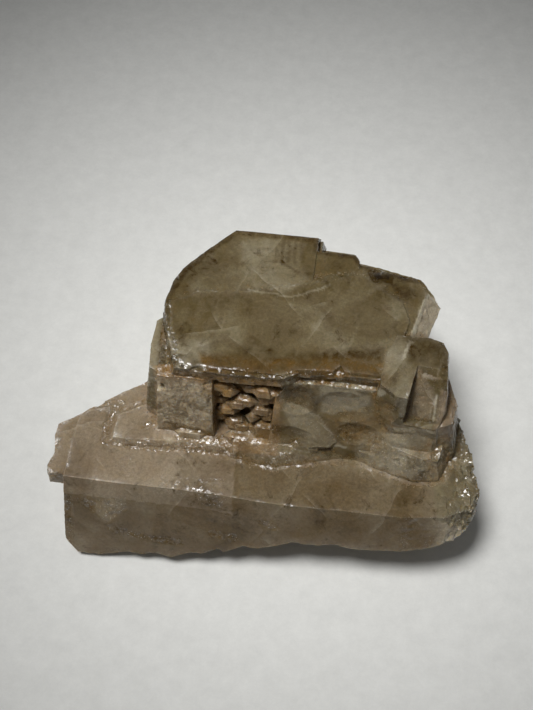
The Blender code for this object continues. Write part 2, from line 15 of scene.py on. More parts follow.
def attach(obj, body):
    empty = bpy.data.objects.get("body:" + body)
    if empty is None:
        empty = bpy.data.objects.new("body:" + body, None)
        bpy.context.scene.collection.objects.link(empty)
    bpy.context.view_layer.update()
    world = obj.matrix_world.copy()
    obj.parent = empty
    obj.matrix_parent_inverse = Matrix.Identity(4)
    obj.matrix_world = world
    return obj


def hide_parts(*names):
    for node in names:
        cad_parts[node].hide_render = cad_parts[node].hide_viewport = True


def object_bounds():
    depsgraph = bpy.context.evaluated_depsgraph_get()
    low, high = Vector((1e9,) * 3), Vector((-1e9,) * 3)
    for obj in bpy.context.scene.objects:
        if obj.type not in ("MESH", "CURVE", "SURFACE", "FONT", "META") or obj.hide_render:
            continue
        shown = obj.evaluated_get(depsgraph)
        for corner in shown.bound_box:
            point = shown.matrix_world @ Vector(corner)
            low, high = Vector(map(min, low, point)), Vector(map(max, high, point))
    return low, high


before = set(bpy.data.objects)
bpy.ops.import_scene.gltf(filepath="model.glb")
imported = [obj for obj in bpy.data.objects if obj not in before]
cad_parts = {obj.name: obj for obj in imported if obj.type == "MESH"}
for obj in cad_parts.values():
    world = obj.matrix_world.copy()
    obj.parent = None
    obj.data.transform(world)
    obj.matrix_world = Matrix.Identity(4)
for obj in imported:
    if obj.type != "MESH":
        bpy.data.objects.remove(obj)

bl_info = {
    "name": "Cathedral quartz looks",
    "version": (1, 0, 0),
    "blender": (4, 5, 0),
    "location": "3D View > Sidebar > Quartz",
    "description": "Carves and colours a cluster of smoky quartz crystals and lights it on paper",
    "category": "Object",
}

MM = 0.001
NODE = "quartz_cluster"
CAD_BOX = [list(corner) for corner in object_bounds()]

# Where the zero of the plan below lies in the frame, in millimetres. All marks are placed in that plan.
PLAN_ZERO = np.array((-5.604, 22.12, 0.0))

# Slope from level of the termination faces, and the turn between the six sides of a crystal, in degrees.
TIP = 38.2
SIX_SIDES = 60.0


# ----------------------------------------
# Patterns: numbers that change over a given size in millimetres
# ----------------------------------------

def lattice_value(corner, seed):
    """A repeatable number from 0 to 1 for each corner of a grid of whole numbers."""
    mixed = (
        corner[..., 0].astype(np.int64) * 73856093
        ^ corner[..., 1].astype(np.int64) * 19349663
        ^ corner[..., 2].astype(np.int64) * 83492791
        ^ np.int64(seed * 2654435761 % 2147483647)
    )
    mixed = (mixed ^ (mixed >> 13)) * 1274126177 & 0x7FFFFFFF
    mixed = (mixed ^ (mixed >> 16)) * 668265263 & 0x7FFFFFFF
    return (mixed % 100003) / 100003.0


def swell(points, size, seed):
    """A smooth pattern from -1 to 1 whose swells are size millimetres wide. size may differ along X, Y, Z."""
    spot = points / np.array(size)
    low = np.floor(spot).astype(np.int64)
    part = spot - low
    part = part * part * part * (part * (part * 6.0 - 15.0) + 10.0)
    total = np.zeros(len(points))
    for step in np.ndindex(2, 2, 2):
        share = np.ones(len(points))
        for axis in range(3):
            share = share * (part[:, axis] if step[axis] else 1.0 - part[:, axis])
        total += share * lattice_value(low + np.array(step), seed)
    return total * 2.0 - 1.0


def rough(points, size, seed, octaves=4):
    """Swells of halving size and strength added up, about -1 to 1."""
    total = np.zeros(len(points))
    strength = 1.0
    for octave in range(octaves):
        total += strength * swell(points, np.array(size) / 2.0 ** octave, seed + 17 * octave)
        strength *= 0.5
    return total / 1.4


def cells(points, size, seed):
    """Splits space into cells: the distance to the cell's middle in cell sizes, and three numbers of it."""
    spot = points / np.array(size)
    low = np.floor(spot).astype(np.int64)
    nearest = np.full(len(points), 9.0)
    offset = np.zeros((len(points), 3))
    name = np.zeros((len(points), 3))
    for step in np.ndindex(3, 3, 3):
        corner = low + np.array(step) - 1
        own = np.stack([lattice_value(corner, seed + axis) for axis in range(3)], axis=1)
        gap = spot - (corner + own)
        far = np.linalg.norm(gap, axis=1)
        closer = far < nearest
        nearest[closer] = far[closer]
        offset[closer] = gap[closer]
        name[closer] = np.stack([lattice_value(corner, seed + 5 + axis) for axis in range(3)], axis=1)[closer]
    return nearest, offset, name


def facets(points, size, seed):
    """Small flat facets, one in each cell, each tilted its own way: their height and the cell's numbers."""
    _, offset, name = cells(points, size, seed)
    return (offset * (name - 0.5)).sum(axis=1), name


def ramp(value, low, high):
    """Rises smoothly from 0 at low to 1 at high."""
    part = np.clip((value - low) / (high - low), 0.0, 1.0)
    return part * part * (3.0 - 2.0 * part)


# ----------------------------------------
# Where the stone is milky, smoky, rusty, hazy, deep brown or rough, and calm where it broke smoothly. A few
# milk marks are painted light: painted highlights along edges and a facet painted lighter where it faces the
# light. Top marks give X and Y, and lie on faces that look up. Front marks give X and Z, and lie on faces
# that look to the front. The reach is the side they are seen from, and the third coordinate's lowest and
# highest value.
# ----------------------------------------

ON_CROWN = ("top", 48.6, 52.0)
ON_BLOCKS = ("front", -44.5, -27.0)
ON_SLAB = ("top", 21.0, 29.6)
SLAB_SIDE = ("front", -90.0, -57.6)
KINDS = ("milk", "smoke", "deep", "rust", "haze", "rough")

# How far the edges of marks wander and over what distance, in millimetres. A front mark lies on faces whose
# normal has less than this along Y. A line is full out to its core, and gone at its end, in widths.
WANDER, WANDER_SIZE = 0.35, 2.5
FRONT_FACING = 0.35
LINE_CORE, LINE_END = 0.3, 0.75


def patch(outline, reach, soft, **strengths):
    """A mark that fills a closed outline, with a soft edge of some width."""
    return True, outline, reach, soft, strengths


def line(outline, reach, width, **strengths):
    """A mark along an open line of some width."""
    return False, outline, reach, width, strengths


MARKS = (
    # The crown: a lit window at the back, milky bands, brown stains at the back edge, and a dark rim.
    patch(((-8.4, 9), (-2.7, 10.6), (10.3, 10.9), (8.9, 3.8), (11.8, -1.8), (7.4, -6.2), (-2.3, -6.9),
        (-6.2, -2.5)), ON_CROWN, 1.6, milk=0.23),
    patch(((-17.3, 0.4), (-8.7, 9), (-0.3, -7.3), (-8.6, -10.9), (-20, -9.2)), ON_CROWN, 5, milk=0.1),
    patch(((-14.2, -19.4), (-9.2, -16.6), (1.2, -19), (11.6, -19.2), (11, -23.9), (2.1, -25.6),
        (-6.6, -24.6), (-13.5, -24)), ON_CROWN, 3, milk=0.08),
    patch(((-1.9, -10.1), (18.1, -4.2), (32, -5.7), (30.6, -15.3), (20, -22.9), (6.6, -23.1), (-2.1, -18)),
        ON_CROWN, 7, milk=0.13),
    patch(((22, -20.9), (23.9, -19.1), (25.7, -21.3), (23.5, -23.4)), ON_CROWN, 2, milk=0.26),
    line(((-4.3, -6.6), (-0.2, -7.7), (7.5, -7.7), (14.9, -4.8), (18, -2.6)), ON_CROWN, 0.6, milk=0.5),
    line(((26.6, -6.2), (33, 0.2), (37.4, 4.4)), ON_CROWN, 1.4, milk=0.19),
    line(((21.5, -10), (27, -4.8), (31.7, -1.6)), ON_CROWN, 1.3, milk=0.16),
    line(((40.3, 1.1), (41.2, -3.6)), ON_CROWN, 1, milk=0.16),
    line(((37, -19), (34, -14.7), (37.7, -9.5)), ON_CROWN, 1, milk=0.16),
    line(((25.7, -20.4), (26.6, -12.5)), ON_CROWN, 0.7, milk=0.21),
    patch(((26, -6), (38, -4), (38.6, -22), (27, -20)), ON_CROWN, 6, milk=0.12),
    patch(((-24, -24), (-12, -25), (-10, -34), (-22, -34)), ("top", 47, 52), 3, milk=0.4),
    patch(((9.3, 8.1), (15.5, 8.2), (15, 4.8), (10.8, 2.2)), ON_CROWN, 1.4, smoke=0.05),
    line(((1.8, 7.1), (2, 3.1)), ON_CROWN, 1.1, smoke=0.45),
    line(((3.4, 10.1), (3.7, 2.7)), ON_CROWN, 1.1, smoke=0.45),
    line(((4.9, 11.6), (5.6, 3.6)), ON_CROWN, 1.1, smoke=0.45),
    line(((6.9, 11.9), (7.5, 3.8)), ON_CROWN, 1.1, smoke=0.45),
    line(((8.8, 12.2), (9.7, 4.1)), ON_CROWN, 1.1, smoke=0.45),
    patch(((1, 11.1), (12.5, 11.8), (12.8, 4.2), (2.4, 3.1)), ON_CROWN, 2, smoke=0.12),
    line(((3.9, 3.4), (8.5, 0.3), (12.7, 0.2), (16.5, -1.6), (18.4, -4)), ON_CROWN, 1.1, smoke=0.65),
    patch(((6.4, 2.6), (12.7, 4), (17.8, -1.3), (10.7, -1.6)), ON_CROWN, 2, smoke=0.3),
    patch(((-17.1, -10.2), (-13, -15.2), (-6, -10.4), (-4.5, -7)), ON_CROWN, 4, smoke=0.55),
    patch(((-19, 0), (-9, 11), (-6.6, 2), (-4.4, -7), (-13.5, -15.2), (-24.5, -13)), ON_CROWN, 5,
        smoke=0.22),
    patch(((16, -7.7), (19.2, -7.4), (20.6, -16.6), (17.2, -17)), ON_CROWN, 2.5, smoke=0.45),
    patch(((27.6, 4.8), (35.7, 4.1), (35.2, 0.2), (29.4, -0.3)), ON_CROWN, 0.7, smoke=1),
    patch(((29.2, 4.2), (34.5, 3.8), (34.1, 1.4), (30.1, 0.9)), ON_CROWN, 0.7, deep=1),
    patch(((35.2, -0.2), (41.4, 0.5), (41.7, -4.4), (36.1, -5)), ON_CROWN, 2.5, smoke=0.85),
    patch(((35.6, -2.4), (36.6, 0), (38.8, -0.1), (39.5, -3.2), (37.4, -4.8)), ON_CROWN, 1.2, deep=0.45),
    line(((-14.2, -27.7), (-11, -26.1), (-8.1, -22)), ON_CROWN, 2, smoke=0.45),
    line(((-11.5, -22.8), (-6.1, -24.6), (-2.1, -26.2), (-1, -22.4)), ON_CROWN, 2.2, smoke=0.4),
    line(((0.1, -22.5), (3.1, -24.9), (5.7, -26.4)), ON_CROWN, 1.4, smoke=0.4),
    line(((-23.4, -18.4), (-19.6, -24.8), (-14.9, -31.8)), ON_CROWN, 1.6, smoke=0.35),
    line(((-23.8, -22.2), (-20.1, -27.9)), ON_CROWN, 0.7, smoke=0.4),
    patch(((10, -24), (12.3, -26.1), (11.4, -27.4), (9.6, -25.9)), ON_CROWN, 1.6, smoke=0.6),
    patch(((-14.2, -27.7), (1.8, -27.5), (20, -23.3), (34.1, -20.3), (34.7, -27.4), (36, -31.5), (8.8, -32),
        (-13.4, -34.5)), ("top", 46.5, 52), 3, smoke=0.9),
    patch(((-14.2, -28.7), (1.8, -28), (20, -25.3), (36, -24), (36, -31.5), (8.8, -32), (-13.4, -34.5)),
        ("top", 46.5, 52), 3, rust=0.35),
    line(((-24.2, -33), (-25.6, -17), (-25.7, -12.6), (-24.6, -6.9), (-22.5, -2.1), (-14.6, 7.2),
        (-10, 12.1), (13, 12.4)), ("top", 40, 52), 2.6, smoke=0.75),
    line(((13.3, 12.4), (13.3, 8.4), (24.2, 8.3), (25.6, 5.8), (33, 3.6), (41.4, 2.3)), ("top", 40, 52),
        1.8, smoke=0.75),
    patch(((-24, -24), (-12, -16.3), (12, -13), (13, -24), (36, -22.5), (37, -33), (-24.5, -37.3)),
        ("top", 44, 52), 5, rough=0.06),
    patch(((-14, 46.5), (38, 49.4), (38, 50.6), (-24, 50.6), (-26, 47)), ("front", -36, -29.2), 0.6,
        smoke=0.7),
    # The facet at the crown's right end, light, with a painted highlight as a bright line along its inner
    # edge.
    patch(((40.2, -27), (45.4, -0.6), (52, -0.6), (52, -27)), ("top", 41, 49.3), 0.8, milk=0.7, haze=0.6),
    line(((38.9, -26), (45, -1.8)), ("top", 47, 51), 0.9, milk=0.9),
    # The small crystal at the crown's left.
    patch(((-30, -33), (-30, -14), (-25.6, -15), (-24.6, -33)), ("top", 38, 46.4), 1.5, milk=0.3),
    line(((-29.2, -14), (-29.4, -34)), ("top", 38, 46.6), 0.8, smoke=0.23),
    # The pillar: dark along its back, light on its front facet and its left, with a bright crack at its
    # right, and two bright lines at its right edge that are painted highlights.
    patch(((39.2, -15.4), (50, -15), (51.5, -19.2), (50.6, -24.1), (41.2, -24)), ON_CROWN, 3, smoke=0.8),
    patch(((43.4, -24.7), (42.7, -29.8), (41.5, -31.9), (41.2, -34.6), (48.4, -35.4), (49.3, -31.3),
        (45.5, -26.5)), ("top", 36, 51.2), 1.2, milk=0.22, haze=0.35),
    patch(((34, -31.6), (34.9, -22), (37.7, -17.8), (40, -17.5), (40.6, -24), (42, -29), (41.2, -36.5),
        (38.8, -35.4)), ("top", 43, 51.2), 1.6, milk=0.2),
    patch(((34, -31.6), (36, -22), (41, -24), (42.5, -27), (41.2, -36.5), (38.8, -35.4)), ("top", 43, 51.2),
        2, rough=0.25),
    line(((50.2, -20.5), (48.9, -26.3)), ("top", 46, 51.2), 0.6, milk=0.38),
    # Painted highlights: two bright lines along the pillar's right edge.
    line(((49.4, -30.3), (49.3, -35.6)), ("top", 39, 50), 0.5, milk=0.9),
    line(((48.6, -31.5), (48.4, -35.3)), ("top", 39, 50), 0.5, milk=0.5),
    patch(((50.4, -22), (56, -24), (57, -38), (50, -38)), ("top", 29, 47), 1.5, milk=0.22, haze=0.6),
    # The block in the middle: two light windows, the lower one a facet painted lighter where it faces the
    # light, with painted highlights along its edges; dark stone between them; and a pale tread on top,
    # painted as a highlight.
    patch(((17.9, 46.2), (19.5, 41.5), (19.3, 38.3), (21.6, 38), (30, 39.6), (31.8, 42), (32.4, 45),
        (27, 46)), ON_BLOCKS, 0.8, milk=0.4),
    # Painted light: the lower window is a facet painted lighter where it faces the light, with painted
    # highlights along its upper and lower edges.
    patch(((9.1, 39.8), (13.7, 39.4), (19.4, 37.2), (24.2, 31.3), (27.2, 29.4), (17, 28.8), (14.6, 30.1),
        (11.5, 34.1)), ON_BLOCKS, 0.6, milk=0.31),
    line(((10, 39.3), (13.7, 39.3), (19.4, 37.2), (24.2, 31.3)), ON_BLOCKS, 0.4, milk=0.5),
    line(((16.8, 29.3), (21.5, 30), (27.4, 29.3)), ON_BLOCKS, 0.6, milk=0.75),
    patch(((20.4, 37), (31, 38.6), (38, 40), (38, 30), (26.2, 30)), ON_BLOCKS, 3, milk=0.1, rust=0.3),
    patch(((9.6, 44.6), (16.8, 45.4), (18.6, 41.6), (19, 38.4), (13.7, 39.6), (9.6, 40.4)), ON_BLOCKS, 0.8,
        smoke=0.55),
    patch(((32.4, 46.2), (38.6, 46.2), (39, 38.4), (33.4, 39.3)), ON_BLOCKS, 2, rust=0.45),
    # Painted highlight on the tread's edge, and painted light on the wall above it; the tread is also rough.
    line(((8.2, -31.4), (20.9, -30.8), (36, -30.8)), ("top", 45.2, 48.6), 1.3, milk=0.8),
    patch(((8, 46.3), (36, 46.3), (36, 49.2), (8, 49.2)), ("front", -33, -28.6), 0.7, milk=0.65),
    line(((8.2, -31.4), (20.9, -30.8), (36, -30.8)), ("top", 45.2, 48.6), 2, rough=0.8),
    patch(((9, 46.2), (38, 46.2), (38, 29), (9, 29)), ON_BLOCKS, 2, calm=0.75),
    patch(((-26, 49), (-10.4, 49), (-10.4, 27), (-26, 27)), ("front", -45.5, -31), 2, calm=0.5, haze=0.75),
    # The hollow and the pitted block: brown with iron, and rough.
    patch(((-10.8, 49), (8.4, 49.4), (9, 26.9), (-10, 26.9)), ("front", -46, -26), 2, haze=0.55),
    patch(((9, 46.2), (38, 46.2), (38, 28), (9, 28)), ON_BLOCKS, 2, haze=0.1),
    patch(((-10.8, 49), (-4.3, 49.4), (-3.7, 34), (-9.4, 30)), ("front", -46, -26), 2.5, rust=0.85),
    patch(((-3.7, 49), (7.2, 49.4), (8.4, 39), (-3.3, 38)), ("front", -46, -26), 2.5, rust=0.75),
    patch(((-6, 38), (9, 39), (9, 26.9), (-8, 26.9)), ("front", -45.5, -26), 3, rust=0.4),
    patch(((-1.5, 35.6), (3.4, 35.8), (3.6, 31.6), (-0.6, 31.4)), ("front", -42, -30), 1, milk=0.15),
    patch(((0.5, 29.4), (4.4, 29.2), (4.4, 27), (1, 27)), ("front", -42, -30), 1, milk=0.28),
    patch(((-25.6, 46), (-10.6, 46), (-10.4, 27), (-26, 27)), ("front", -45.5, -31), 2, milk=0.75),
    patch(((-26, 49), (-10.4, 49), (-10.4, 43), (-26, 44)), ("front", -45.5, -31), 2, rust=0.5),
    patch(((-26, 44), (-10.4, 44), (-10.4, 27), (-26, 27)), ("front", -45.5, -31), 2, rust=0.3),
    patch(((-26, 48.7), (9, 48.9), (9, 28.9), (-26, 28.9)), ("front", -45.5, -26), 3, rough=0.28),
    line(((-24.2, -36.5), (-24, -39.6), (-16.3, -41.4), (-7.2, -41.8)), ("top", 25, 30.5), 1.2, smoke=0.8),
    patch(((-25.4, -40), (-7, -42), (14, -41), (14, -43.5), (-1.6, -45.6), (-15.9, -44.2), (-25, -44)),
        ("top", 25, 31), 2, rust=0.16),
    patch(((-4, 36), (9, 36), (9, 28.5), (-4, 28.5)), ("front", -45.5, -26), 3, smoke=0.6),
    # The slab's level face: milky and light at the left up to a straight border, smoky at the right.
    patch(((-60, -62), (-1.5, -62), (-2.8, -44.5), (-2.8, -30), (-60, -20)), ON_SLAB, 0.5, milk=0.24,
        haze=0.55),
    patch(((-17, -47), (-1.9, -46), (-1.6, -62), (-19, -62)), ON_SLAB, 7, smoke=0.42),
    patch(((-1.5, -62), (-2.8, -44.5), (20, -44), (52, -46), (54, -62)), ON_SLAB, 0.5, haze=0.28),
    patch(((3, -43), (49, -46), (52, -62), (3, -62)), ON_SLAB, 9, smoke=0.34),
    patch(((52, -62), (50.5, -47), (54, -30), (72, -30), (72, -62)), ("top", 20, 29.6), 6, milk=0.23),
    patch(((0.4, -42.6), (4.2, -41.7), (14.9, -42.4), (18.3, -43.2), (14.2, -46.3), (7.2, -47.4),
        (2.1, -46.8)), ("top", 24, 31), 1, milk=0.2),
    patch(((15.1, -44), (26.2, -43), (40, -44), (51, -45.5), (49.8, -48), (37.5, -47), (23.7, -46)),
        ("top", 24, 30.5), 1, milk=0.21),
    line(((-36.5, -46.6), (-26.6, -46.8), (-18.3, -45.9), (-12.7, -45.8), (-3, -44.9)), ON_SLAB, 1.4,
        rough=0.8),
    patch(((-19.2, -43.5), (-2, -41.9), (-0.9, -46), (-18.6, -46.7)), ON_SLAB, 1.5, rough=0.6),
    line(((-39.9, -46.3), (-39.7, -41.6), (-39.5, -36.9), (-37, -35)), ON_SLAB, 2, rough=0.7),
    line(((-28.7, -41.3), (-24.8, -36.1)), ON_SLAB, 2, rough=0.8),
    line(((-30.2, -33.4), (-26, -31.9)), ON_SLAB, 2.2, rough=0.9),
    patch(((-38.7, -50.7), (-33.3, -49.1), (-28.5, -52.4), (-29, -56.9), (-33.7, -56.9)), ON_SLAB, 3,
        rough=0.15),
    patch(((-22.4, -54.2), (-4.5, -53.5), (-4.4, -59.6), (-21.9, -59.7)), ("top", 24, 29), 2, rough=0.25),
    # The rough foot under the pillar, and the yellowish toe at its right.
    patch(((36, -37), (54, -34), (57, -40.1), (55.5, -48), (30, -46)), ("top", 24, 40), 2.5, haze=0.15),
    patch(((46, -37.5), (53, -36.5), (58, -40.1), (56, -48), (49, -46)), ("top", 24, 38), 2, milk=0.5),
    patch(((47.5, -38), (53, -36.5), (57, -40.1), (55, -47), (50, -46)), ("top", 24, 37), 2, rust=0.35),
    patch(((30, -38), (52, -36), (54, -48), (30, -46)), ("top", 24, 40), 3, milk=0.45),
    patch(((34, -33), (57, -33), (57, -48), (34, -46)), ("top", 24, 41.5), 2, rough=0.22),
    # The slab's front: hazy mauve brown, with a few chipped places.
    patch(((-60, -4), (72, -4), (72, 25.8), (-60, 25.8)), SLAB_SIDE, 0.6, haze=0.35),
    patch(((-44, -4), (56, -4), (52, 25.6), (-30, 25.6)), SLAB_SIDE, 7, smoke=0.3),
    patch(((55, -4), (68, -4), (68, 25.6), (55, 25.6)), SLAB_SIDE, 6, milk=0.7),
    line(((-46.5, 23.6), (-32.9, 24.4)), SLAB_SIDE, 1.2, milk=0.16),
    patch(((-40.1, 18.7), (-31.6, 21.5), (-30.8, 18.5), (-36.6, 12.9), (-39.9, 15.9)), SLAB_SIDE, 1,
        milk=0.21),
    patch(((-46.1, 19.5), (-31.6, 21.5), (-30.8, 18.5), (-36.6, 12.9), (-41.9, 16.9)), SLAB_SIDE, 1.5,
        rough=0.9),
    patch(((-12.8, 26.1), (-3.6, 25.2), (-5, 22.4), (-10, 22.8)), SLAB_SIDE, 1.5, rough=1),
    line(((-35.7, 11.4), (-25, 9.6), (-15.9, 9.9)), SLAB_SIDE, 2, rough=0.8),
    line(((-6.6, 13.9), (-0.4, 13.2)), SLAB_SIDE, 2, rough=0.9),
    line(((6.8, 20), (10.5, 18.9)), SLAB_SIDE, 1.8, rough=1),
    line(((-48, 18.8), (-47.5, 8)), SLAB_SIDE, 2.4, rough=0.6),
)


def off_line(plan, corners, closed):
    """How far each point lies from a line through the corners."""
    nearest = np.full(len(plan), 1e9)
    ends = np.roll(corners, -1, axis=0) if closed else corners[1:]
    for start, end in zip(corners, ends):
        along = end - start
        share = np.clip((plan - start) @ along / (along @ along), 0.0, 1.0)
        nearest = np.minimum(nearest, np.linalg.norm(plan - start - share[:, None] * along, axis=1))
    return nearest


def inside(plan, corners):
    """Which points lie inside a closed outline."""
    within = np.zeros(len(plan), bool)
    for start, end in zip(corners, np.roll(corners, -1, axis=0)):
        along = end - start
        crossing = (start[1] > plan[:, 1]) != (end[1] > plan[:, 1])
        rise = along[1] if abs(along[1]) > 1e-9 else 1e-9
        within ^= crossing & (plan[:, 0] < start[0] + (plan[:, 1] - start[1]) / rise * along[0])
    return within


def paint(kind, points, normal):
    """How strongly one kind of mark covers each point, from 0 to 1."""
    wander = np.stack([swell(points, WANDER_SIZE, 401 + axis) for axis in range(3)], axis=1) * WANDER
    plan = points - PLAN_ZERO + wander
    cover = np.zeros(len(points))
    for closed, outline, (seen, low, high), soft, strengths in MARKS:
        if kind not in strengths:
            continue
        across, depth = (plan[:, [0, 1]], plan[:, 2]) if seen == "top" else (plan[:, [0, 2]], plan[:, 1])
        corners = np.array(outline, float)
        box_low, box_high = corners.min(axis=0) - soft, corners.max(axis=0) + soft
        near = (depth > low) & (depth < high)
        near &= (across > box_low).all(axis=1) & (across < box_high).all(axis=1)
        near &= (normal[:, 2] > 0.0) if seen == "top" else (normal[:, 1] < FRONT_FACING)
        if not near.any():
            continue
        spot = across[near]
        away = off_line(spot, corners, closed)
        if closed:
            amount = ramp(np.where(inside(spot, corners), away, -away), -soft / 2.0, soft / 2.0)
        else:
            amount = 1.0 - ramp(away, soft * LINE_CORE, soft * LINE_END)
        cover[near] = np.maximum(cover[near], strengths[kind] * amount)
    return cover


# ----------------------------------------
# Helpers for meshes, nodes and lights
# ----------------------------------------

def select_only(thing):
    """Makes one object the selected and active one."""
    bpy.ops.object.select_all(action="DESELECT")
    thing.select_set(True)
    bpy.context.view_layer.objects.active = thing


def vertex_numbers(mesh, what):
    """The coordinates or normals of a mesh's vertices as rows of X, Y, Z."""
    rows = np.empty(len(mesh.vertices) * 3, np.float32)
    if what == "co":
        mesh.vertices.foreach_get("co", rows)
    else:
        mesh.vertex_normals.foreach_get("vector", rows)
    return rows.reshape(-1, 3).astype(float)


def neighbour_mean(values, edges, count, rounds=1):
    """Gives each vertex the mean of a value over the vertices that share an edge with it, round by round."""
    for _ in range(rounds):
        total = np.zeros_like(values)
        np.add.at(total, edges[:, 0], values[edges[:, 1]])
        np.add.at(total, edges[:, 1], values[edges[:, 0]])
        values = total / (count[:, None] if values.ndim == 2 else count)
    return values


def store(mesh, name, values):
    """Keeps one number for each vertex under a name that the material reads."""
    attribute = mesh.attributes.new(name, "FLOAT", "POINT")
    attribute.data.foreach_set("value", values.astype(np.float32))


def linear(colour):
    """An sRGB colour such as "#A89F8E" as linear red, green, blue and alpha."""
    parts = [int(colour[place:place + 2], 16) / 255.0 for place in (1, 3, 5)]
    return [p / 12.92 if p <= 0.04045 else ((p + 0.055) / 1.055) ** 2.4 for p in parts] + [1.0]


def add(tree, kind, links=None, gives=0, **settings):
    """Adds one node with its settings and links, and hands back one output.

    links maps each input to another node's output or to a value.
    """
    node = tree.nodes.new(kind)
    for name, value in settings.items():
        setattr(node, name, value)
    for place, source in (links or {}).items():
        if isinstance(source, bpy.types.NodeSocket):
            tree.links.new(source, node.inputs[place])
        else:
            node.inputs[place].default_value = source
    return node.outputs[gives] if node.outputs else None


def new_material(name):
    """An empty node material and its tree."""
    material = bpy.data.materials.new(name)
    material.use_nodes = True
    material.node_tree.nodes.clear()
    return material, material.node_tree


# ----------------------------------------
# The stone
# ----------------------------------------

def habit_normals():
    """Directions of the faces that grew: six prism sides round X, and six tip faces at each end."""
    faces = []
    for side in range(6):
        turn = Matrix.Rotation(math.radians(side * SIX_SIDES), 3, "X")
        faces.append(turn @ Vector((0.0, 0.0, 1.0)))
        for end in (-1.0, 1.0):
            lean = math.radians(TIP)
            faces.append(turn @ Vector((end * math.sin(lean), 0.0, math.cos(lean))))
    return np.array([tuple(face) for face in faces])


# Corners of the solid nearer than this are one, in metres. The grid has 2 to this power of cells along its
# side, and the stone may fill this share of it.
MERGE = 0.000001
GRID_POWER = 8
GRID_FILL = 0.99


def gridded_copy(name, cell):
    """A merged copy of the solid, cut into a fine even grid that keeps its sharp edges."""
    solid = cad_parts[NODE]
    piece = bpy.data.objects.new(name, solid.data.copy())
    bpy.context.scene.collection.objects.link(piece)
    select_only(piece)
    bpy.ops.object.mode_set(mode="EDIT")
    bpy.ops.mesh.select_all(action="SELECT")
    bpy.ops.mesh.remove_doubles(threshold=MERGE)
    bpy.ops.object.mode_set(mode="OBJECT")
    longest = max(high - low for low, high in zip(*CAD_BOX))
    grid = piece.modifiers.new("Fine grid", "REMESH")
    grid.mode = "SHARP"
    grid.octree_depth = GRID_POWER
    grid.scale = min(GRID_FILL, longest / (cell * 2 ** GRID_POWER))
    grid.sharpness = 1.0
    grid.use_remove_disconnected = True
    grid.threshold = 0.5
    bpy.ops.object.modifier_apply(modifier=grid.name)
    return piece


# Sizes of the patterns of the fine relief, in millimetres.
LONG_LINES, SHORT_LINES = 30.0, 20.0    # how far growth lines run, before they are drawn out eight times
WAVES = 14.0                # swells of a grown face
COARSE_PATCHES = 8.0        # patches where a break is rougher
RIPPLES = 7.0               # ripples of a break
HACKLE = 2.4                # its grain
STEPS = 2.3                 # its small steps
WOBBLE = 2.0                # how widely the borders of the steps and facets swing
SPLINTERS = 1.5             # small facets where the stone is rough
NOTCHES = (1.6, 3.6, 3.6)   # blocks that broke out of the slab's right end
PIT_GROUPS = 9.0            # groups of pits
PITS = (1.5, 1.8, 1.5)      # the cells that hold one pit each
CHIP_RUNS = 3.4             # stretches of an edge that are chipped
DULL_RUNS = 3.0             # stretches of an edge that are dull

# Cosine between a face and the nearest lattice direction, from surely broken to surely grown.
BROKEN_FACE, GROWN_FACE = 0.994, 0.9985
# Where the slab's right end turns ragged, along X of the plan, in millimetres.
RAGGED_FROM, RAGGED_TO = 53.0, 60.0
# How far a point stands out of its surroundings, or sinks below them, in millimetres, where the edge is
# chipped, worn or dull and pale in full, the pale partly a painted highlight, and where the corner is
# darkened in full, by dirt and painted shade.
CHIPPED_EDGE, WORN_EDGE, DULL_EDGE, DARKENED_CORNER = 0.22, 0.25, 0.2, 0.10
# Points lower than this rest on the table and stay, and the relief keeps this far inside the solid's box.
RESTING = 0.02
SLACK = 0.01
# Name of the vertices that may be thinned, and in how many steps they are weighed.
PLAIN = "plain"
PLAIN_STEPS = 4
SMOOTH_ANGLE = math.radians(24.0)


